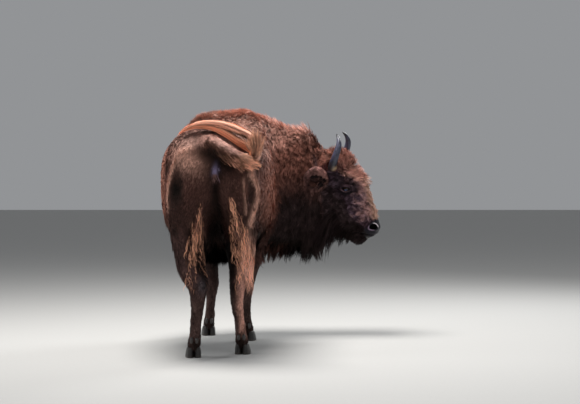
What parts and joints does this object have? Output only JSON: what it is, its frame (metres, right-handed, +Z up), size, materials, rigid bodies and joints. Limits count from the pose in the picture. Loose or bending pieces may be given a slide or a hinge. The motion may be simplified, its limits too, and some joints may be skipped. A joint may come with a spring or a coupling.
{
  "type": "wisent",
  "caption": "European bison cow in full coat, standing still and looking back over its right side, with its tail thrown up over the croup; a life-size still figure.",
  "frame": {"origin": "on the floor, below the centre of the bounding box", "axes": "+Z up; the animal walks towards -Y, its left side is +X; its head is turned towards -X"},
  "size_m": [1.3976, 1.712, 1.492],
  "materials": {
    "body_coat": "short brown coat, longer over the hump",
    "mane_coat": "long shaggy dark brown coat",
    "leg_coat": "short dark brown coat",
    "tail_hair": "long tan hair",
    "horn": "slate horn, satin",
    "hoof": "dark horn, worn",
    "eye": "wet dark brown eye"
  },
  "bodies": {
    "root": {"beard": "mane_coat", "dewclaw_front_left_a": "hoof", "dewclaw_front_left_b": "hoof", "dewclaw_front_right_a": "hoof", "dewclaw_front_right_b": "hoof", "dewclaw_hind_left_a": "hoof", "dewclaw_hind_left_b": "hoof", "dewclaw_hind_right_a": "hoof", "dewclaw_hind_right_b": "hoof", "ear_left": "mane_coat", "ear_right": "mane_coat", "eye_left": "eye", "eye_right": "eye", "head": "mane_coat", "hoof_front_left_a": "hoof", "hoof_front_left_b": "hoof", "hoof_front_right_a": "hoof", "hoof_front_right_b": "hoof", "hoof_hind_left_a": "hoof", "hoof_hind_left_b": "hoof", "hoof_hind_right_a": "hoof", "hoof_hind_right_b": "hoof", "horn_left": "horn", "horn_right": "horn", "leg_front_left": "leg_coat", "leg_front_right": "leg_coat", "leg_hind_left": "leg_coat", "leg_hind_right": "leg_coat", "neck": "mane_coat", "tail_dock": "body_coat", "tail_tuft": "tail_hair", "throat_mane": "mane_coat", "trunk": "body_coat"}
  },
  "joints": []
}
